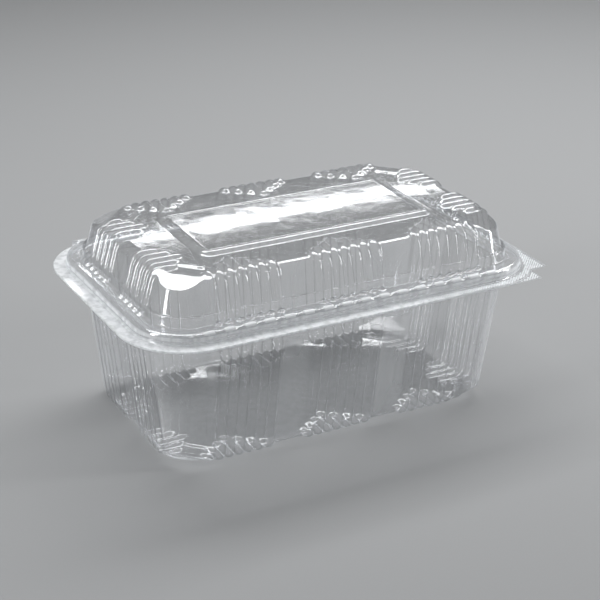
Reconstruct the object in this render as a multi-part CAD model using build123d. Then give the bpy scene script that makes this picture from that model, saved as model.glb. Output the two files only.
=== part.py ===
from build123d import *
from math import atan2, cos, degrees, radians, sin, sqrt, tan
import os

# Hinged clear film pack: a deep ribbed tray and a shallow ribbed lid, thermoformed as one sheet.
# The two halves meet on a flat flange and fold about a rolled living hinge on the long back side.
# X runs along the long side, Y from the front to the hinge, Z up.
# The origin is the middle of the ground contact. All lengths are in millimetres.

# Film and overall sizes
film = 0.4
pack_length = 188.0
pack_depth = 119.4
flange_level = 61.9
plate_level = 83.3
flange_corner_radius = 28.0

# Rim section, seen from the outside edge inwards
flange_width = 5.3
bead_width = 6.6
bead_height = 4.2
bead_draft = 9.0
bead_clearance = 0.15

# Tray walls and floor
tray_taper = 7.2
tray_edge_radius = 3.5

# Lid walls and top
lid_step_height = 4.0
lid_step_width = 0.7
lid_taper = 4.5
lid_edge_radius = 5.0

# Corner facets, measured along the diagonal from the sharp corner of wall and flat
facet_setback = 13.1
facet_slope = 20.0

# Ribs: beads that run down a wall, over its edge and onto the flat
rib_pitch = 4.5
rib_height = 1.4
rib_valley_height = 0.45
tray_rib_crest_width = 1.0
lid_rib_crest_width = 0.0
rib_end_run = 2.0
rib_root_depth = 3.0
lid_rib_margin = -0.8
tray_rib_margin = 1.2

# Rib groups: two long sides and two short sides
long_group_count = 3
long_group_spacing = 46.0
long_rib_count = 7
short_group_count = 2
short_group_spacing = 35.1
short_rib_count = 5

# Distance of the outermost rib tip of a group inside the side of the mouth, and what each next rib gains
lid_long_rib_inset = 11.3
lid_short_rib_inset = 15.5
lid_rib_step = 3.1
tray_long_rib_inset = 14.3
tray_short_rib_inset = 16.9
tray_rib_step = 3.2

# Panels: raised in the lid top, pushed up in the tray floor
lid_panel_length = 108.6
lid_panel_depth = 47.2
lid_panel_height = 1.3
tray_panel_length = 104.0
tray_panel_depth = 43.0
tray_panel_height = 1.6
panel_corner_radius = 5.0
panel_draft = 30.0

# Pull tabs at the front right corner
tab_reach = 19.0
tab_tip_radius = 1.5

# Rolled living hinge
hinge_length = 154.0
fold_radius = 0.9
riser_run = 1.0
riser_inset = 0.8

# Overrun of cutting bodies
overrun = 5.0

# Sizes that follow from the ones above
rim_width = flange_width + bead_width
mouth_length = pack_length - 2 * rim_width
mouth_depth = pack_depth - 2 * rim_width
mouth_corner_radius = flange_corner_radius - rim_width
bead_top = flange_level + bead_height
lid_bead_height = bead_height + bead_clearance + film
lid_foot_level = flange_level + lid_bead_height
fold_level = flange_level + fold_radius
fold_start = pack_depth / 2 - fold_radius - film


def outline(spread, level):
    """Rounded outline of the mouth, grown on every side by a spread, at a height."""
    length = mouth_length + 2 * spread
    depth = mouth_depth + 2 * spread
    return Plane.XY.offset(level) * RectangleRounded(length, depth, mouth_corner_radius + spread)


def block(spread, level, height, draft=0.0):
    """Solid block on a mouth outline, drawn in towards its top by a draft."""
    return extrude(outline(spread, level), amount=height, taper=draft)


def quarter(shape, top_only=False):
    """The quarter of a shape in positive X and Y, and above the XY plane if asked."""
    base = -pack_length if not top_only else 0
    size = pack_length
    corner = Box(size, size, size - base, align=(Align.MIN, Align.MIN, Align.MIN))
    return shape & Pos(0, 0, base) * corner


def four_quarters(shape):
    """The whole of a form that is alike on both sides of its two upright middle planes."""
    half = shape + mirror(shape, Plane.YZ)
    return half + mirror(half, Plane.XZ)


class Moulding:
    """A ribbed dome standing on its open mouth: the lid as it is, or the tray upside down.

    Each form is made under a skin: zero gives its outer face and the film gives its inner face.
    """

    def __init__(self, inset, height, taper, edge_radius, reaches, rib_step, rib_margin, rib_crest, panel):
        self.inset = inset
        self.height = height
        self.draft = degrees(atan2(taper, height))
        self.edge_radius = edge_radius
        self.long_reach, self.short_reach = reaches
        self.rib_step = rib_step
        self.rib_margin = rib_margin
        self.rib_crest = rib_crest
        self.panel_length, self.panel_depth, self.panel_height = panel

    def walls(self, skin, sink=0.0):
        """Drafted block of the four walls, carried on below the mouth by a sink."""
        draft = radians(self.draft)
        spread = sink * tan(draft) - self.inset - skin / cos(draft)
        return block(spread, -sink, self.height - skin + sink, self.draft)

    def body(self, skin, sink=0.0):
        """A quarter of the walls and flat, with a rounded edge, the panel and a facet across the corner."""
        dome = self.walls(skin, sink)
        dome = quarter(fillet(dome.edges().group_by(Axis.Z)[-1], self.edge_radius - skin))
        taper = self.height * tan(radians(self.draft))
        back = facet_setback * sqrt(0.5)
        corner = Vector(mouth_length / 2 - self.inset - taper - back, mouth_depth / 2 - self.inset - taper - back)
        slope = radians(facet_slope)
        lean = sin(slope) * sqrt(0.5)
        normal = Vector(lean, lean, cos(slope))
        point = corner + Vector(0, 0, self.height) - normal * skin
        facet_plane = Plane(origin=point, x_dir=(1, -1, 0), z_dir=normal)
        size = 2 * flange_corner_radius
        dome -= extrude(facet_plane * Rectangle(size, size), amount=size)
        if self.panel_height > 0:
            return dome + quarter(self.panel(skin))
        return dome - self.panel(skin)

    def panel(self, skin):
        """Drafted slab of the panel in the flat, raised above it or sunk below it."""
        spread = -skin if self.panel_height > 0 else skin
        length = self.panel_length + 2 * spread
        depth = self.panel_depth + 2 * spread
        sketch = RectangleRounded(length, depth, panel_corner_radius + spread)
        slab = extrude(sketch, amount=abs(self.panel_height), taper=panel_draft)
        if self.panel_height < 0:
            slab = mirror(slab, Plane.XY)
        return Pos(0, 0, self.height - skin) * slab

    def rib_profile(self, wall, tip, skin):
        """Side view of a rib, in distance from the middle and height, over a wall of a given half width."""
        draft = radians(self.draft)
        foot = wall - self.inset - skin / cos(draft)
        flat = self.height - skin
        crest_radius = self.edge_radius - skin + rib_height
        turn = radians(90.0) - draft
        tangent = crest_radius * tan(turn / 2)
        crest_foot = foot + rib_height / cos(draft)
        crest_level = flat + rib_height
        crest_corner = crest_foot - crest_level * tan(draft)
        wall_join = (crest_corner + tangent * sin(draft), crest_level - tangent * cos(draft))
        flat_join = (crest_corner - tangent, crest_level)
        bend_middle = (
            flat_join[0] + crest_radius * sin(turn / 2),
            crest_level - crest_radius * (1 - cos(turn / 2)),
        )
        end_level = self.rib_margin + rib_end_run
        end_crest = (crest_foot - end_level * tan(draft), end_level)
        end_root = (foot - rib_root_depth, self.rib_margin - rib_root_depth)
        tip_crest = (tip + rib_end_run + skin / 2, crest_level)
        tip_root = (tip + skin / 2, flat - rib_root_depth)
        return Polygon(end_root, end_crest, wall_join, bend_middle, flat_join, tip_crest, tip_root, align=None)

    def rib(self, wall, tip, skin):
        """One rib running in the XZ plane towards +X, its flanks sloping down from a flat crest or a ridge."""
        flank_angle = atan2(rib_height - rib_valley_height, (rib_pitch - self.rib_crest) / 2)
        full_run = (rib_height + rib_valley_height) / tan(flank_angle)
        profile = self.rib_profile(wall, tip, skin)
        crest = max(0, self.rib_crest / 2 - skin * tan(flank_angle / 2))
        flank = extrude(Plane.XY.offset(crest) * profile, amount=full_run, taper=degrees(flank_angle))
        shape = flank + mirror(flank, Plane.XY)
        if crest > 0:
            shape += extrude(profile, amount=crest, both=True)
        return Rot(90, 0, 0) * shape

    def rib_group(self, wall, reach, count, skin):
        """Ribs side by side on the +X wall; the middle one reaches furthest in."""
        middle = (count - 1) / 2
        ribs = []
        for place in range(count):
            tip = reach - self.rib_step * (middle - abs(place - middle))
            ribs.append(Pos(0, rib_pitch * (place - middle), 0) * self.rib(wall, tip, skin))
        return ribs[0].fuse(*ribs[1:])

    def form(self, skin, sink=0.0):
        """A quarter of the ribbed form."""
        long_group = self.rib_group(mouth_depth / 2, self.long_reach, long_rib_count, skin)
        short_group = self.rib_group(mouth_length / 2, self.short_reach, short_rib_count, skin)
        groups = []
        for index in range(long_group_count):
            along = long_group_spacing * (index - (long_group_count - 1) / 2)
            if along >= 0:
                groups.append(quarter(Rot(0, 0, 90) * Pos(0, -along, 0) * long_group, True))
        for index in range(short_group_count):
            along = short_group_spacing * (index - (short_group_count - 1) / 2)
            if along >= 0:
                groups.append(quarter(Pos(0, along, 0) * short_group, True))
        return self.body(skin, sink).fuse(*groups)


def flange_sketch(tab_start, tab_tip, tab_end):
    """Flange outline with the back strip that carries the hinge and a pull tab at the front right corner."""
    sketch = RectangleRounded(pack_length, pack_depth, flange_corner_radius)
    sketch += Pos(0, (pack_depth - flange_width) / 2) * Rectangle(hinge_length, flange_width)
    tab = Polygon(tab_start, tab_tip, tab_end, align=None)
    sketch += fillet(tab.vertices().sort_by_distance(tab_tip)[0], tab_tip_radius)
    return sketch & Pos(0, fold_start - pack_depth / 2) * Rectangle(2 * pack_length, pack_depth)


def tab_points(along_front):
    """Start, tip and end, anticlockwise, of a pull tab that carries a straight side on past its corner."""
    arc_x = pack_length / 2 - flange_corner_radius
    arc_y = flange_corner_radius - pack_depth / 2
    on_arc = flange_corner_radius * sqrt(0.5)
    end = (arc_x + on_arc, arc_y - on_arc)
    if along_front:
        return (arc_x, -pack_depth / 2), (arc_x + tab_reach, -pack_depth / 2), end
    return end, (pack_length / 2, arc_y - tab_reach), (pack_length / 2, arc_y)


def fold_roll(upper):
    """Quarter roll of film from a flange's back edge to the fold line, extruded along the hinge."""
    ring = Circle(fold_radius + film) - Circle(fold_radius)
    size = 2 * (fold_radius + film)
    side = 1 if upper else -1
    quarter = ring & Pos(size / 2, side * size / 2) * Rectangle(size, size)
    section = Pos(fold_start, fold_level) * quarter
    if upper:
        top = fold_level + fold_radius
        riser_start = fold_start - riser_inset - riser_run
        riser_end = fold_start - riser_inset
        section += Polygon(
            (riser_start - film, flange_level),
            (riser_start, flange_level),
            (riser_end, top),
            (fold_start, top),
            (fold_start, top + film),
            (riser_end - film, top + film),
            (riser_start - film, flange_level + film),
            align=None,
        )
    return extrude(Plane.YZ * section, amount=hinge_length / 2, both=True)


tray_moulding = Moulding(
    inset=0.0,
    height=flange_level - rib_height,
    taper=tray_taper,
    edge_radius=tray_edge_radius,
    reaches=(mouth_depth / 2 - tray_long_rib_inset, mouth_length / 2 - tray_short_rib_inset),
    rib_step=tray_rib_step,
    rib_margin=tray_rib_margin,
    rib_crest=tray_rib_crest_width,
    panel=(tray_panel_length, tray_panel_depth, -tray_panel_height),
)

lid_moulding = Moulding(
    inset=lid_step_width,
    height=plate_level - lid_foot_level,
    taper=lid_taper,
    edge_radius=lid_edge_radius,
    reaches=(mouth_depth / 2 - lid_long_rib_inset, mouth_length / 2 - lid_short_rib_inset),
    rib_step=lid_rib_step,
    rib_margin=lid_rib_margin,
    rib_crest=lid_rib_crest_width,
    panel=(lid_panel_length, lid_panel_depth, lid_panel_height),
)


def flange_plate(sketch, level, spread):
    """Flat flange of film round the bead."""
    return extrude(Plane.XY.offset(level) * sketch - outline(spread, level), amount=film)


def base_tray():
    """Deep tray: ribbed walls and floor, a raised bead round the mouth and a flat flange."""
    above_mouth = bead_height + overrun
    place = Pos(0, 0, flange_level)
    bead = block(bead_width, flange_level - film, bead_height + film, bead_draft)
    channel = block(bead_width - film, flange_level - film, bead_height, bead_draft)
    channel -= place * mirror(tray_moulding.walls(0.0, above_mouth), Plane.XY)
    outside = place * mirror(tray_moulding.form(0.0), Plane.XY) + quarter(bead - channel)
    shell = four_quarters(outside - place * mirror(tray_moulding.form(film, above_mouth), Plane.XY))
    flange = flange_plate(flange_sketch(*tab_points(True)), flange_level - film, bead_width - film / 2)
    return shell + (flange + fold_roll(False))


def lid():
    """Shallow lid: ribbed walls and top, a bead that seats over the tray's bead and a flat flange."""
    place = Pos(0, 0, lid_foot_level)
    seat_width = bead_width + bead_clearance
    bead = block(seat_width + film, flange_level, lid_bead_height, bead_draft)
    seat = block(seat_width, flange_level, lid_bead_height - film, bead_draft)
    band = block(0.0, flange_level, lid_bead_height + lid_step_height)
    inside_band = block(-film, flange_level, lid_bead_height + lid_step_height - film)
    outside = place * lid_moulding.form(0.0) + quarter(band + bead)
    shell = four_quarters(outside - (place * lid_moulding.form(film) + quarter(seat + inside_band)))
    riser_start = fold_start - riser_inset - riser_run
    sketch = flange_sketch(*tab_points(False))
    sketch &= Pos(0, riser_start - pack_depth / 2) * Rectangle(2 * pack_length, pack_depth)
    flange = flange_plate(sketch, flange_level, seat_width + film / 2)
    return shell + (flange + fold_roll(True))


os.makedirs("parts", exist_ok=True)
export_step(base_tray(), "parts/base_tray.step")
export_step(lid(), "parts/lid.step")
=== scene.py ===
import math

import bpy
import numpy as np
from bpy.props import FloatProperty, FloatVectorProperty, IntProperty, PointerProperty
from mathutils import Matrix, Vector


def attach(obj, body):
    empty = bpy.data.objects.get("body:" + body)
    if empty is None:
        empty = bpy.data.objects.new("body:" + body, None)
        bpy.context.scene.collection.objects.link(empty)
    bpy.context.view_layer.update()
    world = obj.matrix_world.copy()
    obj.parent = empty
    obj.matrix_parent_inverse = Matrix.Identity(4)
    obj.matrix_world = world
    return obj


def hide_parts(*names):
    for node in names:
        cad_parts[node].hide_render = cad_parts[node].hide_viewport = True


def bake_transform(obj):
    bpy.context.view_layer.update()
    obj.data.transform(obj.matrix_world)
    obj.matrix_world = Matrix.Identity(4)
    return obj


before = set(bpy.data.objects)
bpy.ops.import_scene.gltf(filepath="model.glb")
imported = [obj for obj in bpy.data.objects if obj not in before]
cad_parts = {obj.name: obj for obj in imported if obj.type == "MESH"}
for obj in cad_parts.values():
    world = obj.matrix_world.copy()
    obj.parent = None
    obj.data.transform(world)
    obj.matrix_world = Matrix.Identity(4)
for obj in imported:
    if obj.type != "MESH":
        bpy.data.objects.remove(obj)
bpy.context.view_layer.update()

bl_info = {
    "name": "Clear Hinged Pack",
    "version": (1, 0, 0),
    "blender": (4, 5, 0),
    "location": "3D View > Sidebar > Pack",
    "description": "Builds the ribbed film sheets of a clear hinged pack over its fixed frame, and a small studio",
    "category": "Add Mesh",
}

# Each moulding is one sheet on the middle of the film. Its plan is a rectangle between the four corner
# centres, and from that rectangle every row runs outwards at one distance. Lengths are in millimetres.
MM = 0.001
HALF_X = 66.0
HALF_Y = 31.7
FLANGE_REACH = 28.0
FLANGE_STEPS = (0.15, 0.35, 0.52, 0.68, 0.85, 1.0)
HINGE_HALF = 77.0
FOLD_Y = 58.4
CORNER_PARTS = 20
TAB_TIP_ANGLES = (32.8, 34.16, 35.2, 54.8, 55.84, 57.2)
LONG, SHORT, CORNER = 0, 1, 2
LUG_PLACES = (
    -74.5, -66.0, -57.5, -48.9, -40.3, -31.7, -23.0, -14.4, -5.8,
    2.8, 11.4, 20.0, 28.7, 37.3, 45.9, 54.5, 63.1,
)


def mm(value):
    """Metres to millimetres."""
    return value / MM


def smooth(edge_a, edge_b, value):
    """Smooth step from 0 at edge_a to 1 at edge_b."""
    t = np.clip((value - edge_a) / (edge_b - edge_a), 0.0, 1.0)
    return t * t * (3.0 - 2.0 * t)


def soft_low(a, b, reach):
    """Lower of two heights, rounded where they cross."""
    h = np.maximum(reach - np.abs(a - b), 0.0) / reach
    return np.minimum(a, b) - h * h * reach / 4.0


def rounded_section(points, radii, steps):
    """Rows along a section: straight runs divided by steps, with an arc at each inner corner."""
    arc_step, wide_radius, small_arc_parts = 0.75, 2.0, 3
    rows = [np.array(points[0], float)]
    start = rows[0]
    for i, (radius, step) in enumerate(zip(radii, steps), start=1):
        here, before, after = (np.array(points[k], float) for k in (i, i - 1, i + 1))
        way_in = (here - before) / np.linalg.norm(here - before)
        way_out = (after - here) / np.linalg.norm(after - here)
        turn = math.acos(float(np.clip(way_in @ way_out, -1.0, 1.0)))
        cut = radius * math.tan(turn / 2.0)
        arc_in, arc_out = here - way_in * cut, here + way_out * cut
        run = np.linalg.norm(arc_in - start)
        count = max(1, int(round(run / step)))
        rows += [start + (arc_in - start) * t / count for t in range(1, count + 1)]
        side = way_out - way_in
        middle = here + side / np.linalg.norm(side) * radius / math.cos(turn / 2.0)
        parts = max(2, int(round(turn * radius / arc_step)) if radius > wide_radius else small_arc_parts)
        for t in range(1, parts):
            along = turn * t / parts
            rows.append(middle + (arc_in - middle) * math.cos(along) + way_in * radius * math.sin(along))
        rows.append(arc_out)
        start = arc_out
    return np.array(rows), start


def corner_distance(x, y):
    """Distance of a place near the tabs from the rectangle between the corner centres."""
    return math.hypot(max(x - HALF_X, 0.0), max(-HALF_Y - y, 0.0))


def spread_lines(half, groups, fine, coarse):
    """Grid lines from -half to half, fine within the groups and coarse between them."""
    margin = 0.3
    lines = [-half]
    while lines[-1] < half - 1e-6:
        here = lines[-1]
        inside = any(low - margin <= here < high for low, high in groups)
        step = fine if inside else coarse
        if not inside:
            ahead = [low for low, _ in groups if low > here]
            if ahead and here + step > ahead[0]:
                step = max(ahead[0] - here, fine * 0.5)
        lines.append(min(half, here + step))
    if lines[-1] - lines[-2] < fine * 0.4:
        lines.pop(-2)
    return np.array(lines)


class Sheet:
    """One moulding as a single sheet of film: a ribbed dome on its open mouth, with a bead and a flange."""

    def __init__(self, points, radii, steps, flat_level, out, settings):
        self.out = out
        self.flat_level = flat_level
        self.settings = settings
        rows, self.flange_start = rounded_section(points, radii, steps)
        self.rows = rows
        tangent = np.gradient(rows, axis=0)
        tangent /= np.linalg.norm(tangent, axis=1)[:, None]
        self.normals = np.stack([-tangent[:, 1], tangent[:, 0]], axis=1)
        if self.normals[0][1] * out < 0:
            self.normals *= -1.0
        step = np.linalg.norm(np.diff(rows, axis=0), axis=1)
        self.travel = np.concatenate([[0.0], np.cumsum(step)])

    def rib_height(self, across, along, count, reach, end):
        """Height of the bead-like ribs of one group over its sheet, chevron tips inwards."""
        s = self.settings
        middle = (count - 1) / 2.0
        place = np.clip(np.round(across / s.rib_pitch + middle), 0, count - 1)
        offset = across - s.rib_pitch * (place - middle)
        tip = reach - s.rib_step * (middle - np.abs(place - middle))
        half = s.rib_pitch * s.rib_fullness / 2.0
        gap = np.maximum(np.maximum(tip + half - along, along - (end - half)), 0.0)
        rho = np.sqrt(offset**2 + gap**2) / half
        return s.rib_height * np.clip(1.0 - rho**2, 0.0, 1.0) ** 0.8

    def side_ribs(self, across, along, long_side):
        """Ribs of every group on one side."""
        s = self.settings
        count, spacing, ribs, reach = (
            (s.long_groups, s.long_spacing, s.long_ribs, s.long_reach)
            if long_side
            else (s.short_groups, s.short_spacing, s.short_ribs, s.short_reach)
        )
        start = HALF_Y if long_side else HALF_X
        end = start + self.rib_end
        height = np.zeros(np.broadcast(across, along).shape)
        for index in range(count):
            centre = spacing * (index - (count - 1) / 2.0)
            height = np.maximum(height, self.rib_height(across - centre, along, ribs, reach, end))
        return height

    def flat_shape(self, x, y):
        """Height over the flat of the ribs that run in from the sides, the corner bars and the panel."""
        s = self.settings
        bar_across, bar_height, bar_half_length, bar_half_width = 33.5, 0.9, 4.6, 1.5
        ribs = np.maximum(self.side_ribs(x, np.abs(y), True), self.side_ribs(y, np.abs(x), False))
        u = (np.abs(x) + np.abs(y) - s.bar_line) / math.sqrt(2.0)
        v = (np.abs(x) - np.abs(y) - bar_across) / math.sqrt(2.0)
        rho = np.sqrt(u**2 + np.maximum(np.abs(v) - bar_half_length, 0.0) ** 2) / bar_half_width
        bar = bar_height * np.clip(1.0 - rho**2, 0.0, 1.0) ** 0.8
        shape = np.maximum(ribs, bar)
        return np.maximum(shape, self.panel_shape(x, y)) if s.panel else shape

    def panel_shape(self, x, y):
        """Height of the raised panel, with a lip just inside its edge."""
        length, depth, height = self.settings.panel
        corner = 5.0
        lip_height, lip_place, lip_width = 0.35, 2.6, 0.7
        past_x = np.abs(x) - (length / 2.0 - corner)
        past_y = np.abs(y) - (depth / 2.0 - corner)
        outside = np.sqrt(np.maximum(past_x, 0) ** 2 + np.maximum(past_y, 0) ** 2)
        far = outside + np.minimum(np.maximum(past_x, past_y), 0) - corner
        lip = lip_height * np.exp(-(((far + lip_place) / lip_width) ** 2))
        return height * (1.0 - smooth(-2.0, 0.2, far)) + lip

    def facet(self, points):
        """Cuts a sloping facet across each corner of the flat."""
        s = self.settings
        drop = math.tan(math.radians(s.facet_slope)) / math.sqrt(2.0)
        past = np.abs(points[:, 0]) + np.abs(points[:, 1]) - s.facet_line
        plane = self.flat_level - self.out * drop * past
        near = smooth(-3.0, -1.0, past)
        rounding = 0.7
        cut = self.out * soft_low(self.out * points[:, 2], self.out * plane, rounding)
        points[:, 2] += (cut - points[:, 2]) * near
        return points

    def columns(self, x_lines, y_lines):
        """Base point, outward way, rectangle vertex and side of each column, anticlockwise round the sheet."""
        found = []
        nx, ny = len(x_lines), len(y_lines)

        def fan(cx, cy, start, vertex, extra=()):
            even = [math.pi / 2.0 * t / CORNER_PARTS for t in range(1, CORNER_PARTS)]
            for turn in sorted(even + [math.radians(a) for a in extra]):
                angle = start + turn
                found.append(((cx, cy), (math.cos(angle), math.sin(angle)), vertex, CORNER))

        for i in range(nx):
            found.append(((x_lines[i], -HALF_Y), (0.0, -1.0), i, LONG))
        fan(HALF_X, -HALF_Y, -math.pi / 2.0, nx - 1, TAB_TIP_ANGLES)
        for j in range(ny):
            found.append(((HALF_X, y_lines[j]), (1.0, 0.0), j * nx + nx - 1, SHORT))
        fan(HALF_X, HALF_Y, 0.0, ny * nx - 1)
        for i in reversed(range(nx)):
            found.append(((x_lines[i], HALF_Y), (0.0, 1.0), (ny - 1) * nx + i, LONG))
        fan(-HALF_X, HALF_Y, math.pi / 2.0, (ny - 1) * nx)
        for j in reversed(range(ny)):
            found.append(((-HALF_X, y_lines[j]), (-1.0, 0.0), j * nx, SHORT))
        fan(-HALF_X, -HALF_Y, math.pi, 0)
        return [np.array(column) for column in zip(*found)]

    def flange_reach(self, base, way, tab, back):
        """How far the flange's edge lies from the base point of each column."""
        reach = np.full(len(base), FLANGE_REACH)
        back_y, ear_y = back[0] - HALF_Y, back[1] - HALF_Y
        for k, ((bx, by), (wx, wy)) in enumerate(zip(base, way)):
            if by > 0 and wy > 1e-6:
                straight = back_y / wy
                if abs(bx) + straight * abs(wx) <= HINGE_HALF:
                    reach[k] = straight
                else:
                    reach[k] = min(ear_y / wy, FLANGE_REACH)
            if bx > 0 and by < 0 and wx > 1e-6 and wy < -1e-6:
                for a, b in zip(tab[:-1], tab[1:]):
                    reach[k] = max(reach[k], self.meeting((bx, by), (wx, wy), a, b))
        return reach

    @staticmethod
    def meeting(base, way, a, b):
        """How far along its way a column meets the line from a to b, or 0."""
        ax, ay, dx, dy = a[0] - base[0], a[1] - base[1], b[0] - a[0], b[1] - a[1]
        cross = way[0] * dy - way[1] * dx
        if abs(cross) < 1e-9:
            return 0.0
        share = (ax * way[1] - ay * way[0]) / cross
        return (ax * dy - ay * dx) / cross if -0.02 <= share <= 1.02 else 0.0

    def wall_row(self, k, base, way, kind):
        """Points of one row between the flat and the flange."""
        r, z = self.rows[k]
        out_r, out_z = self.normals[k]
        across = np.where(kind == LONG, base[:, 0], base[:, 1])
        along = np.where(kind == LONG, HALF_Y, HALF_X) + self.travel[k]
        short_ribs = np.where(kind == SHORT, self.side_ribs(across, along, False), 0.0)
        high = np.where(kind == LONG, self.side_ribs(across, along, True), short_ribs)
        xy = base + way * r
        if self.on_flat[k]:
            high = np.maximum(high, self.flat_shape(xy[:, 0], xy[:, 1]))
        side = np.zeros(len(base))
        if self.band_rows[k]:
            side = np.where(kind == CORNER, 0.0, np.maximum(self.wall_reach(z) + high - r, 0.0))
            high = np.zeros(len(base))
        if self.lug_rows[k]:
            high = high + snap_lugs(base, way, r)
        xy = xy + way * (high * out_r + side)[:, None]
        return np.column_stack([xy, z + high * out_z])

    def mesh(self, name, x_lines, y_lines, tab, back, riser):
        """The sheet as a Blender object, and the line of its outer edge."""
        base, way, index, kind = self.columns(x_lines, y_lines)
        gx, gy = np.meshgrid(x_lines, y_lines)
        level = self.flat_level + self.out * self.flat_shape(gx, gy)
        points = [np.stack([gx.ravel(), gy.ravel(), level.ravel()], axis=1)]
        points += [self.wall_row(k, base, way, kind) for k in range(1, len(self.rows))]
        reach = self.flange_reach(base, way, tab, back)
        first, flange_level = self.flange_start
        for share in FLANGE_STEPS:
            xy = base + way * (first + (reach - first) * share)[:, None]
            points.append(np.column_stack([xy, flange_level + riser(xy[:, 0], xy[:, 1])]))
        edge = points[-1].copy()
        points = self.facet(np.concatenate(points))
        faces = self.faces(len(x_lines), len(y_lines), index, len(points))
        return film_object(name, points, faces), edge

    @staticmethod
    def faces(nx, ny, index, total):
        """Faces of the flat's grid, then of each ring of columns round it."""
        faces = []
        for j in range(ny - 1):
            for i in range(nx - 1):
                a = j * nx + i
                faces.append((a, a + 1, a + nx + 1, a + nx))
        grid, count = nx * ny, len(index)
        inner = index
        for start in range(grid, total, count):
            outer = start + np.arange(count)
            for j in range(count):
                n = (j + 1) % count
                around = (int(inner[j]), int(outer[j]), int(outer[n]), int(inner[n]))
                faces.append(around if around[0] != around[3] else around[:3])
            inner = outer
        return faces


def film_object(name, points, faces):
    """Mesh object from points in millimetres, smooth shaded."""
    mesh = bpy.data.meshes.new(name)
    mesh.from_pydata((np.asarray(points) * MM).tolist(), [], [tuple(f) for f in faces])
    mesh.validate()
    mesh.polygons.foreach_set("use_smooth", [True] * len(mesh.polygons))
    mesh.update()
    obj = bpy.data.objects.new(name, mesh)
    bpy.context.scene.collection.objects.link(obj)
    return obj


def edge_ribbon(name, line, low, high):
    """Upright strip along the cut edge of a flange, as thick as the film."""
    count = len(line)
    bottom = np.column_stack([line[:, :2], line[:, 2] + low])
    top = np.column_stack([line[:, :2], line[:, 2] + high])
    fold = (line[:, 1] > FOLD_Y - 0.1) & (np.abs(line[:, 0]) < HINGE_HALF)
    faces = []
    for i in range(count):
        n = (i + 1) % count
        if not (fold[i] and fold[n]):
            faces.append((i, n, count + n, count + i))
    return film_object(name, np.concatenate([bottom, top]), faces)


def knurl_points(name, level, size_at):
    """Rows of small four-sided points on a flange, each as large as size_at says for its place."""
    pitch, half, high, least = 1.3, 0.52, 0.26, 0.3
    first_x, first_y, rows, steps = 10.0, -59.2, 44, 66
    points, faces = [], []
    for row in range(rows):
        for step in range(steps):
            x = first_x + (step + 0.5 * (row % 2)) * pitch
            y = first_y + row * pitch / 2.0
            size = size_at(x, y)
            if size < least:
                continue
            start = len(points)
            for dx, dy in ((-half, 0.0), (0.0, -half), (half, 0.0), (0.0, half)):
                points.append((x + dx * size, y + dy * size, level))
            points.append((x, y, level + high * size))
            faces += [(start + k, start + (k + 1) % 4, start + 4) for k in range(4)]
    knurl = film_object(name, points, faces)
    knurl.data.polygons.foreach_set("use_smooth", [False] * len(faces))
    return knurl


class Term:
    """A shader socket that reads as a number in an expression."""

    def __init__(self, tree, socket):
        self.tree = tree
        self.socket = socket

    def _math(self, operation, *others, flip=False):
        terms = (*others, self) if flip else (self, *others)
        return self.tree.node("ShaderNodeMath", {"operation": operation}, dict(enumerate(terms)))

    def __add__(self, other):
        return self._math("ADD", other)

    __radd__ = __add__

    def __sub__(self, other):
        return self._math("SUBTRACT", other)

    def __rsub__(self, other):
        return self._math("SUBTRACT", other, flip=True)

    def __mul__(self, other):
        return self._math("MULTIPLY", other)

    __rmul__ = __mul__

    def __truediv__(self, other):
        return self._math("DIVIDE", other)

    def __rtruediv__(self, other):
        return self._math("DIVIDE", other, flip=True)

    def __pow__(self, other):
        return self._math("POWER", other)

    def absolute(self):
        return self._math("ABSOLUTE")

    def sine(self):
        return self._math("SINE")

    def top(self, other):
        return self._math("MAXIMUM", other)

    def low(self, other):
        return self._math("MINIMUM", other)

    def between(self, start, end, low=0.0, high=1.0):
        """Smoothly from low at start to high at end."""
        settings = {"interpolation_type": "SMOOTHSTEP", "data_type": "FLOAT"}
        values = {"Value": self, "From Min": start, "From Max": end, "To Min": low, "To Max": high}
        return self.tree.node("ShaderNodeMapRange", settings, values, "Result")

    def window(self, rise, full, hold, fall):
        """1 from full to hold, easing to 0 at rise and at fall."""
        return self.between(rise, full) * self.between(fall, hold)


class Finish:
    """A material's node tree, built from expressions."""

    def __init__(self, name):
        self.material = bpy.data.materials.new(name)
        self.material.use_nodes = True
        self.nodes = self.material.node_tree.nodes
        self.links = self.material.node_tree.links
        self.nodes.clear()

    def node(self, kind, settings=None, values=None, output=0):
        made = self.nodes.new(kind)
        for key, value in (settings or {}).items():
            setattr(made, key, value)
        for key, value in (values or {}).items():
            if isinstance(value, Term):
                self.links.new(value.socket, made.inputs[key])
            else:
                made.inputs[key].default_value = value
        return Term(self, made.outputs[output]) if made.outputs else None

    def place(self):
        """Object position in metres, as three numbers and as a vector."""
        where = self.node("ShaderNodeTexCoord", output="Object")
        parts = self.node("ShaderNodeSeparateXYZ", values={0: where}).socket.node
        return [Term(self, parts.outputs[i]) for i in range(3)], where

    def noise(self, vector, scale, detail=2.0, roughness=0.5, stretch=(1.0, 1.0, 1.0)):
        """Noise value over a stretched position."""
        at = self.node("ShaderNodeVectorMath", {"operation": "MULTIPLY"}, {0: vector, 1: stretch})
        values = {"Vector": at, "Scale": scale, "Detail": detail, "Roughness": roughness}
        return self.node("ShaderNodeTexNoise", {"noise_dimensions": "3D"}, values, "Fac")

    def mixed(self, amount, low_colour, high_colour):
        """Colour between two colours."""
        values = {0: amount, 6: (*low_colour, 1.0), 7: (*high_colour, 1.0)}
        return self.node("ShaderNodeMix", {"data_type": "RGBA"}, values, 2)

    def finish(self, surface):
        self.node("ShaderNodeOutputMaterial", values={"Surface": surface})
        return self.material


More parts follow.
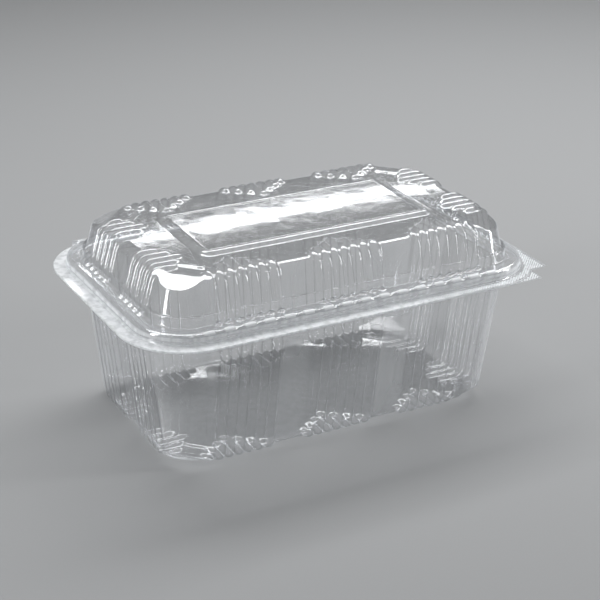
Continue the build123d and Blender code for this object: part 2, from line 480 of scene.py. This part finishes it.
def rim_haze_and_highlights(x, y, z):
    """Where the bead and flange get haze and painted highlight lines, and how much: bright painted lines, but not
    under the knurl.
    """
    rim = z.window(0.0608, 0.0616, 0.0662, 0.0672)
    # Painted highlight lines: a bright strip over the flange and a band up the side of the bead.
    lines = z.between(0.0629, 0.0627) + z.window(0.0637, 0.0640, 0.0651, 0.0655)
    knurled = x.between(0.020, 0.062) * (0.0 - y).between(0.020, 0.036) * z.between(0.0626, 0.0624)
    return rim, rim * (lines * (1.0 - knurled) * 7.5 + 0.3)


def lug_painted_highlights(x, y, z):
    """Painted highlights: ovals in step with the snap lugs along the front of the bead."""
    first, pitch = 0.0745, 0.0086
    pace = ((x + first) * (2.0 * math.pi / pitch) + math.pi / 2.0).sine() * x.absolute().between(0.0775, 0.0765)
    return pace.between(-0.25, 0.1) * (0.0 - y).window(0.0522, 0.0526, 0.0543, 0.0547) * z.between(0.0654, 0.0658)


def plain_walls(x, y, z):
    """The flat stretches of the tray's wall, between the rib groups and round the corners, where patches of
    painted reflection go.
    """
    gap = (x.absolute() - 0.023).absolute().between(0.0078, 0.0060) * y.absolute().between(0.036, 0.039)
    bend = x.absolute().between(0.0615, 0.0635) * y.absolute().between(0.030, 0.033)
    return gap.top(bend) * z.window(0.003, 0.006, 0.050, 0.058)


def clear_film(name, look, wave, haze_and_highlight_amount):
    """Thin clear film: seen through, mirror-like at a slant, with faint forming streaks, haze, and painted
    highlights, painted reflections and painted dark reflection in its milky layer.
    """
    film = Finish(name)
    (x, y, z), where = film.place()
    ripple = film.noise(where, 60.0, 2.0, 0.5, (1.0, 1.0, 0.22))
    streak = film.noise(where, 260.0, 3.0, 0.55, (1.0, 1.0, 0.05))
    grain = film.noise(where, 900.0, 2.0, 0.5)
    swell = film.noise(where, 26.0, 1.0, 0.4) * z.between(0.0034, 0.0026) * look.floor_swell
    height = ripple * wave + streak * (wave * 0.06) + grain * (wave * 0.012) + swell
    bump = {"Strength": 1.0, "Distance": 1.0, "Height": height}
    normal = film.node("ShaderNodeBump", values=bump, output="Normal")
    facing = film.node("ShaderNodeLayerWeight", values={"Blend": 0.5, "Normal": normal}, output="Facing")

    # A film reflects from both its faces, more and more as it is seen at a slant.
    mirror = facing**5.0 * 0.96 + 0.04
    both_faces = (mirror * 2.0) / (mirror + 1.0)
    gloss_blur = streak.between(0.3, 0.8, look.roughness * 0.7, look.roughness * 1.8)
    clear = film.node("ShaderNodeBsdfTransparent", values={"Color": (*look.tint, 1.0)})
    gloss = {"Color": (0.97, 0.98, 1.0, 1.0), "Roughness": gloss_blur, "Normal": normal}
    shine = film.node("ShaderNodeBsdfGlossy", values=gloss)
    sheet = film.node("ShaderNodeMixShader", values={0: both_faces * look.shine, 1: clear, 2: shine})

    # A little haze everywhere. Painted highlights grow at a slant. The rim gets haze and painted highlight lines,
    # its lugs get painted highlights, and the tray's plain walls get patches of painted reflection.
    rim, rim_haze_and_highlight_amount = rim_haze_and_highlights(x, y, z)
    lug_highlight, reflection_walls = lug_painted_highlights(x, y, z), plain_walls(x, y, z)
    reflection_cloud = film.noise(where, 30.0, 2.0, 0.5, (1.0, 1.0, 0.45))
    haze_and_highlights = (facing**1.7 * 6.5 + rim_haze_and_highlight_amount + 0.4) * streak.between(0.3, 0.75, 0.7, 1.4) * haze_and_highlight_amount
    # Painted highlights on the lugs, and cloudy patches of painted reflection on the plain walls, go on top.
    haze_and_highlights = haze_and_highlights + lug_highlight * 0.6 + reflection_walls * reflection_cloud.between(0.40, 0.62, 0.02, 0.26)

    # Painted dark reflection: the milk's colour turns dark half way to a slant, standing in for the dark of the
    # room that a curved film shows there. It is kept off the rim, the lugs and the plain walls.
    painted_dark = facing.window(0.30, 0.45, 0.66, 0.80) * (1.0 - rim.top(lug_highlight).top(reflection_walls))
    tone = film.mixed(painted_dark, (0.88, 0.90, 0.92), (0.06, 0.065, 0.07))
    milk_and_painted_light = film.node("ShaderNodeBsdfPrincipled", values={"Base Color": tone, "Roughness": 0.35, "Normal": normal})
    return film.finish(film.node("ShaderNodeMixShader", values={0: haze_and_highlights.low(0.6), 1: sheet, 2: milk_and_painted_light}))


def cut_edge(name, least=0.45, most=0.8):
    """Frosted film of a cut edge or a knurl, between clear and solid by the least and most amount."""
    edge = Finish(name)
    _, where = edge.place()
    nick = edge.noise(where, 700.0, 2.0)
    bump = {"Strength": 0.4, "Distance": 0.0002, "Height": nick}
    frost = {
        "Base Color": (0.88, 0.91, 0.93, 1.0),
        "Roughness": nick.between(0.3, 0.7, 0.18, 0.4),
        "Normal": edge.node("ShaderNodeBump", values=bump, output="Normal"),
        "Coat Weight": 0.6,
    }
    solid = edge.node("ShaderNodeBsdfPrincipled", values=frost)
    clear = edge.node("ShaderNodeBsdfTransparent", values={"Color": (0.97, 0.98, 0.98, 1.0)})
    amount = nick.between(0.25, 0.75, least, most)
    return edge.finish(edge.node("ShaderNodeMixShader", values={0: amount, 1: clear, 2: solid}))


def floor_finish(name, colour):
    """Matt pale paper sweep with the faintest grain."""
    paper = Finish(name)
    _, where = paper.place()
    grain = paper.noise(where, 1200.0, 2.0)
    tone = paper.mixed(grain.between(0.3, 0.7), [part * 0.985 for part in colour], colour)
    matt = {"Base Color": tone, "Roughness": 0.75, "Specular IOR Level": 0.2}
    return paper.finish(paper.node("ShaderNodeBsdfPrincipled", values=matt))


def length(name, text, default):
    """Property that holds a length in metres."""
    return FloatProperty(name=name, description=text, default=default, unit="LENGTH")


def share(name, text, default):
    """Property that holds a share from 0 to 1."""
    return FloatProperty(name=name, description=text, default=default, subtype="FACTOR")


def colour(name, text, default):
    """Property that holds a colour."""
    return FloatVectorProperty(name=name, description=text, default=default, subtype="COLOR", min=0, max=1)


FACET_SLOPE = {"name": "Facet slope", "description": "Slope of the corner facets", "subtype": "ANGLE"}


class RibLayout(bpy.types.PropertyGroup):
    """Ribs that both mouldings share."""

    pitch: length("Rib pitch", "Distance from rib to rib", 0.0045)
    height: length("Rib height", "How far a rib stands out of its sheet", 0.0014)
    fullness: share("Rib fullness", "Share of the pitch that a rib fills", 0.94)
    long_groups: IntProperty(name="Groups, long side", description="Rib groups on each long side", default=3)
    long_ribs: IntProperty(name="Ribs, long side", description="Ribs in each group of a long side", default=7)
    long_spacing: length("Spacing, long side", "Distance between the groups of a long side", 0.046)
    short_groups: IntProperty(name="Groups, short side", description="Rib groups on each short side", default=2)
    short_ribs: IntProperty(name="Ribs, short side", description="Ribs in each group of a short side", default=5)
    short_spacing: length("Spacing, short side", "Distance between the groups of a short side", 0.0351)


class LidShape(bpy.types.PropertyGroup):
    """Levels and reaches of the lid."""

    plate_level: length("Top level", "Height of the lid's flat", 0.0831)
    long_reach: length("Long reach", "Outermost rib tip from the middle, long sides", 0.0365)
    short_reach: length("Short reach", "Outermost rib tip from the middle, short sides", 0.0666)
    rib_step: length("Tip step", "What each next rib gains", 0.0031)
    panel_length: length("Panel length", "Length of the raised panel", 0.1086)
    panel_depth: length("Panel depth", "Depth of the raised panel", 0.0472)
    panel_height: length("Panel height", "How far the panel stands up", 0.0011)
    facet_slope: FloatProperty(default=math.radians(20.0), **FACET_SLOPE)


class TrayShape(bpy.types.PropertyGroup):
    """Levels and reaches of the tray."""

    floor_level: length("Floor level", "Height of the tray's floor film", 0.0016)
    long_reach: length("Long reach", "Outermost rib tip from the middle, long sides", 0.0335)
    short_reach: length("Short reach", "Outermost rib tip from the middle, short sides", 0.0652)
    rib_step: length("Tip step", "What each next rib gains", 0.0032)
    facet_slope: FloatProperty(default=math.radians(20.0), **FACET_SLOPE)


class FilmLook(bpy.types.PropertyGroup):
    """How the clear film looks."""

    tint: colour("Film tint", "Colour of light through one film", (0.985, 0.988, 0.99))
    roughness: share("Gloss blur", "Roughness of the film's shine", 0.045)
    shine: FloatProperty(name="Shine", description="Strength of the film's reflection", default=1.25)
    wave: length("Wave", "Height of the film's waviness", 0.00005)
    floor_swell: length("Floor swell", "Height of the slow swell of the tray's floor film", 0.0004)
    # This share scales the film's haze and also the painted highlights of its milky layer.
    haze_and_highlights: share("Haze", "Milky share of the film", 0.05)


class StudioLook(bpy.types.PropertyGroup):
    """Floor, lamps and surroundings."""

    floor_colour: colour("Floor", "Colour of the floor and backdrop", (0.30, 0.305, 0.31))
    surround: FloatProperty(name="Surround", description="Grey level of the room", default=0.12)
    top_power: FloatProperty(name="Top lamp", description="Watts of the overhead softbox", default=10.5)
    strip_power: FloatProperty(name="Strip lamp", description="Watts of the strip behind", default=0.14)
    side_power: FloatProperty(name="Side lamps", description="Watts of each upright strip", default=3.0)


class Layout:
    """Plain holder of a sheet's sizes in millimetres."""

    def __init__(self, **sizes):
        self.__dict__.update(sizes)


class FilmBuilder:
    """What the operators of the two mouldings share."""

    bl_options = {"REGISTER", "UNDO"}

    def grid_lines(self, ribs):
        """Lines of the rectangle's grid both ways, fine where ribs run."""
        pitch, coarse, margin = mm(ribs.pitch), 1.3, 0.5

        def lines(half, groups, count, spacing):
            reach = mm(count * ribs.pitch) / 2.0 + margin
            centres = [mm(spacing) * (i - (groups - 1) / 2.0) for i in range(groups)]
            return spread_lines(half, [(c - reach, c + reach) for c in centres], pitch / 9.0, coarse)

        return (
            lines(HALF_X, ribs.long_groups, ribs.long_ribs, ribs.long_spacing),
            lines(HALF_Y, ribs.short_groups, ribs.short_ribs, ribs.short_spacing),
        )

    def sizes(self, ribs, shape, facet_line, bar_line, panel=None):
        """Sizes that a sheet needs, from the two property groups."""
        return Layout(
            rib_pitch=mm(ribs.pitch),
            rib_height=mm(ribs.height),
            rib_fullness=ribs.fullness,
            rib_step=mm(shape.rib_step),
            long_groups=ribs.long_groups,
            long_spacing=mm(ribs.long_spacing),
            long_ribs=ribs.long_ribs,
            long_reach=mm(shape.long_reach),
            short_groups=ribs.short_groups,
            short_spacing=mm(ribs.short_spacing),
            short_ribs=ribs.short_ribs,
            short_reach=mm(shape.short_reach),
            facet_slope=math.degrees(shape.facet_slope),
            facet_line=facet_line,
            bar_line=bar_line,
            panel=panel,
        )


def snap_lugs(base, way, r):
    """Oval snap lugs that stand up from the lid's bead along the front."""
    centre, half_length, half_width, height = 21.8, 2.0, 1.25, 0.42
    out = np.zeros(len(base))
    front = way[:, 1] < -0.999
    for place in LUG_PLACES:
        along = np.maximum(np.abs(base[:, 0] - place) - half_length, 0.0)
        rho = np.sqrt(along**2 + (r - centre) ** 2) / half_width
        out = np.maximum(out, height * np.clip(1.0 - rho**2, 0.0, 1.0) ** 0.7 * front)
    return out


class PACK_OT_lid(FilmBuilder, bpy.types.Operator):
    """Lid sheet with its ribs, raised panel, corner facets, bead, snap lugs and pull tab"""

    bl_idname = "pack.lid"
    bl_label = "Lid"

    def execute(self, context):
        scene = context.scene
        ribs, shape, look = scene.pack_ribs, scene.pack_lid, scene.pack_film
        top, step_level, bead_level, flange = mm(shape.plate_level), 70.45, 66.45, 62.1
        wall_reach, wall_draft, foot_reach, bead_reach = 15.2, 0.2703, 15.9, 22.3
        points = [(0, top), (10.75, top), (14.17, step_level), (foot_reach, step_level), (foot_reach, bead_level)]
        points += [(bead_reach, bead_level), (23.05, flange), (FLANGE_REACH, flange)]
        panel = (mm(shape.panel_length), mm(shape.panel_depth), mm(shape.panel_height))
        layout = self.sizes(ribs, shape, 100.97, 90.6, panel)
        radii, steps = [4.8, 0.35, 0.45, 0.7, 1.3, 0.5], [0.65, 0.8, 0.6, 0.6, 0.9, 0.4]
        sheet = Sheet(points, radii, steps, top, 1.0, layout)
        sheet.wall_reach = lambda z: wall_reach - (z - 66.65) * wall_draft
        reach, level = sheet.rows[:, 0], sheet.rows[:, 1]
        sheet.on_flat = np.abs(level - top) < 1e-6
        sheet.band_rows = (level < 70.6) & (level > 66.5) & (reach < 16.6)
        sheet.lug_rows = (reach > 20.0) & (level > 64.6)
        foot = np.argmin(np.abs(level - 66.6) + (reach > 17) * 100)
        sheet.rib_end = sheet.travel[foot] + 1.8
        tab = [(85.8, -51.5), (94.0, -50.7), (94.0, -31.7)]

        def riser(x, y):
            return 1.8 * smooth(56.4, 57.4, y) * smooth(HINGE_HALF + 0.4, HINGE_HALF - 0.4, np.abs(x))

        lid, edge = sheet.mesh("lid_sheet", *self.grid_lines(ribs), tab, (FOLD_Y, 56.6), riser)
        lid.data.materials.append(clear_film("lid_film", look, look.wave, look.haze_and_highlights))
        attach(lid, "lid_body")
        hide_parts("lid")
        knurl = knurl_points("lid_tab_knurl", flange + 0.02, self.knurl_size)
        knurl.data.materials.append(cut_edge("lid_knurl_film", 0.8, 1.0))
        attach(knurl, "lid_body")
        rim = edge_ribbon("lid_cut_edge", edge, -0.14, 0.2)
        rim.data.materials.append(cut_edge("lid_edge_film"))
        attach(rim, "lid_body")
        return {"FINISHED"}

    def knurl_size(self, x, y):
        """Full size on the tab and round its corner, smaller and smaller along the front."""
        far = corner_distance(x, y)
        on_flange = 24.4 < far < 27.3
        on_tab = far >= 27.3 and x < 93.2 and y > -51.5 + (x - 85.8) * 0.0976 + 0.75
        fade = min(1.0, (x - 14.0) / 40.0)
        return fade if on_flange or on_tab else 0.0


class PACK_OT_tray(FilmBuilder, bpy.types.Operator):
    """Tray sheet with its ribs, corner facets, bead and pull tab"""

    bl_idname = "pack.tray"
    bl_label = "Tray"

    def execute(self, context):
        scene = context.scene
        ribs, shape, look = scene.pack_ribs, scene.pack_tray, scene.pack_film
        low, bead_level, flange = mm(shape.floor_level), 65.9, 61.7
        points = [(0, low), (8.72, low), (16.38, bead_level), (21.87, bead_level), (22.5, flange)]
        points.append((FLANGE_REACH, flange))
        layout = self.sizes(ribs, shape, 96.97, 86.6)
        sheet = Sheet(points, [3.3, 1.2, 1.2, 0.5], [0.7, 1.7, 0.9, 0.7], low, -1.0, layout)
        reach, level = sheet.rows[:, 0], sheet.rows[:, 1]
        sheet.on_flat = np.abs(level - low) < 1e-6
        sheet.band_rows = sheet.lug_rows = np.zeros(len(level), bool)
        sheet.rib_end = sheet.travel[np.argmin(np.abs(level - 60.4) + (reach > 17) * 100)]
        tab = [(66.0, -59.7), (85.0, -59.7), (85.8, -51.5)]

        def riser(x, y):
            return np.zeros(len(x))

        tray, edge = sheet.mesh("tray_sheet", *self.grid_lines(ribs), tab, (FOLD_Y, FOLD_Y), riser)
        tray.data.materials.append(clear_film("tray_film", look, look.wave * 1.4, look.haze_and_highlights))
        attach(tray, "tray_body")
        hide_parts("base_tray")
        knurl = knurl_points("tray_tab_knurl", flange + 0.02, self.knurl_size)
        knurl.data.materials.append(cut_edge("tray_knurl_film", 0.8, 1.0))
        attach(knurl, "tray_body")
        rim = edge_ribbon("tray_cut_edge", edge, -0.2, 0.14)
        rim.data.materials.append(cut_edge("tray_edge_film"))
        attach(rim, "tray_body")
        return {"FINISHED"}

    def knurl_size(self, x, y):
        """Full size on the part of the tab that the lid's flange doesn't cover."""
        on_tab = corner_distance(x, y) > 28.5 and y > -59.15 and x < 85.0 + (y + 59.7) * 0.0976 - 0.6
        return 1.0 if on_tab else 0.0


class PACK_OT_hinge(bpy.types.Operator):
    """Rolled living hinge between the two flanges at the back"""

    bl_idname = "pack.hinge"
    bl_label = "Living hinge"

    def execute(self, context):
        radius, level, swell = 1.1, 62.8, 0.03
        across = np.linspace(-HINGE_HALF, HINGE_HALF, 78)
        turns = np.radians(np.linspace(-90.0, 90.0, 13))
        points, faces = [], []
        for x in across:
            for turn in turns:
                out = radius + swell * math.sin(x * 0.55) * math.cos(turn)
                points.append((x, FOLD_Y + out * math.cos(turn), level + radius * math.sin(turn)))
        rows = len(turns)
        for i in range(len(across) - 1):
            for j in range(rows - 1):
                a = i * rows + j
                faces.append((a, a + rows, a + rows + 1, a + 1))
        strip = film_object("hinge_roll", points, faces)
        look = context.scene.pack_film
        strip.data.materials.append(clear_film("hinge_film", look, look.wave, look.haze_and_highlights * 1.5))
        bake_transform(strip)
        return {"FINISHED"}


class PACK_OT_stage(bpy.types.Operator):
    """Pale floor sweep, soft lamps and the camera at the photograph's angle"""

    bl_idname = "pack.stage"
    bl_label = "Studio"

    def execute(self, context):
        scene = context.scene
        look = scene.pack_studio
        self.floor(look)
        world = bpy.data.worlds.new("room")
        world.use_nodes = True
        back = world.node_tree.nodes["Background"]
        back.inputs["Color"].default_value = (0.96, 0.98, 1.0, 1.0)
        back.inputs["Strength"].default_value = look.surround
        scene.world = world
        aim = Vector((0.0, 0.0, 0.06))
        long_way, upright = Vector((1.0, 0.0, 0.0)), Vector((0.0, 0.0, 1.0))
        above = aim + 0.85 * Vector((0.27, 0.44, 0.86))
        lamps = (
            ("top_softbox", above, long_way, 1.20, 0.32, look.top_power),
            ("back_strip", Vector((0.445, 0.90, 0.486)), long_way, 0.44, 0.010, look.strip_power),
            ("left_strip", Vector((-0.75, -0.05, 0.30)), upright, 0.55, 0.12, look.side_power),
            ("right_strip", Vector((0.66, -0.36, 0.30)), upright, 0.55, 0.12, look.side_power),
        )
        for name, place, along, wide, high, power in lamps:
            self.lamp(name, place, aim, along, wide, high, power)
        self.camera(scene)
        scene.view_settings.view_transform = "Standard"
        return {"FINISHED"}

    def floor(self, look):
        """Floor that bends up into a backdrop, in metres."""
        wide, front, straight, bend, top = 2.2, -1.6, 0.9, 0.5, 1.6
        turns = np.linspace(0.15, math.pi / 2, 10)
        line = [(front, 0.0), (0.0, 0.0), (straight, 0.0)]
        line += [(straight + bend * math.sin(turn), bend - bend * math.cos(turn)) for turn in turns]
        line.append((straight + bend, top))
        points, faces = [], []
        for x in (-wide, wide):
            points += [(mm(x), mm(y), mm(z)) for y, z in line]
        count = len(line)
        for i in range(count - 1):
            faces.append((i, count + i, count + i + 1, i + 1))
        sweep = film_object("floor_sweep", points, faces)
        sweep.data.materials.append(floor_finish("floor_paper", tuple(look.floor_colour)))

    def lamp(self, name, place, aim, along, wide, high, power):
        """Rectangular lamp that looks at aim, with its width along the way given."""
        light = bpy.data.lights.new(name, "AREA")
        light.shape = "RECTANGLE"
        light.size = wide
        light.size_y = high
        light.energy = power
        obj = bpy.data.objects.new(name, light)
        back = (place - aim).normalized()
        side = (along - back * along.dot(back)).normalized()
        obj.matrix_world = Matrix.Translation(place) @ Matrix((side, back.cross(side), back)).transposed().to_4x4()
        bpy.context.scene.collection.objects.link(obj)

    def camera(self, scene):
        """Camera fitted to the photograph: its turn, place and focal length in pixels of a 600 wide image."""
        sensor, focal_pixels, image_width = 36.0, 1559.58, 600.0
        yaw, pitch, roll = (math.radians(a) for a in (29.4025, 24.697, 1.2946))
        right = Vector((math.cos(yaw), -math.sin(yaw), 0.0))
        ahead = Vector((math.sin(yaw) * math.cos(pitch), math.cos(yaw) * math.cos(pitch), -math.sin(pitch)))
        up = right.cross(ahead)
        side = math.cos(roll) * right + math.sin(roll) * up
        top = -math.sin(roll) * right + math.cos(roll) * up
        data = bpy.data.cameras.new("photo_view")
        data.sensor_width = sensor
        data.lens = sensor * focal_pixels / image_width
        data.clip_start = 0.01
        obj = bpy.data.objects.new("photo_view", data)
        turn = Matrix((side, top, -ahead)).transposed().to_4x4()
        obj.matrix_world = Matrix.Translation(Vector((-0.29556, -0.52980, 0.32343))) @ turn
        scene.collection.objects.link(obj)
        scene.camera = obj


OPERATORS = (PACK_OT_tray, PACK_OT_lid, PACK_OT_hinge, PACK_OT_stage)
GROUPS = {
    "pack_ribs": RibLayout,
    "pack_lid": LidShape,
    "pack_tray": TrayShape,
    "pack_film": FilmLook,
    "pack_studio": StudioLook,
}


class PACK_PT_panel(bpy.types.Panel):
    """Sidebar panel with the pack's sizes and its pieces"""

    bl_label = "Clear Hinged Pack"
    bl_idname = "PACK_PT_panel"
    bl_space_type = "VIEW_3D"
    bl_region_type = "UI"
    bl_category = "Pack"

    def draw(self, context):
        layout = self.layout
        for name, group in GROUPS.items():
            box = layout.box()
            for key in group.__annotations__:
                box.prop(getattr(context.scene, name), key)
        for operator in OPERATORS:
            layout.operator(operator.bl_idname, text=operator.bl_label)


def register():
    """Adds the property groups, operators and panel."""
    for name, group in GROUPS.items():
        bpy.utils.register_class(group)
        setattr(bpy.types.Scene, name, PointerProperty(type=group))
    for made in (*OPERATORS, PACK_PT_panel):
        bpy.utils.register_class(made)


def unregister():
    """Takes them out again."""
    for made in reversed((*OPERATORS, PACK_PT_panel)):
        bpy.utils.unregister_class(made)
    for name, group in GROUPS.items():
        delattr(bpy.types.Scene, name)
        bpy.utils.unregister_class(group)


def main():
    """Builds every piece and the stage."""
    register()
    bpy.ops.pack.tray()
    bpy.ops.pack.lid()
    bpy.ops.pack.hinge()
    bpy.ops.pack.stage()


if __name__ == "__main__":
    main()
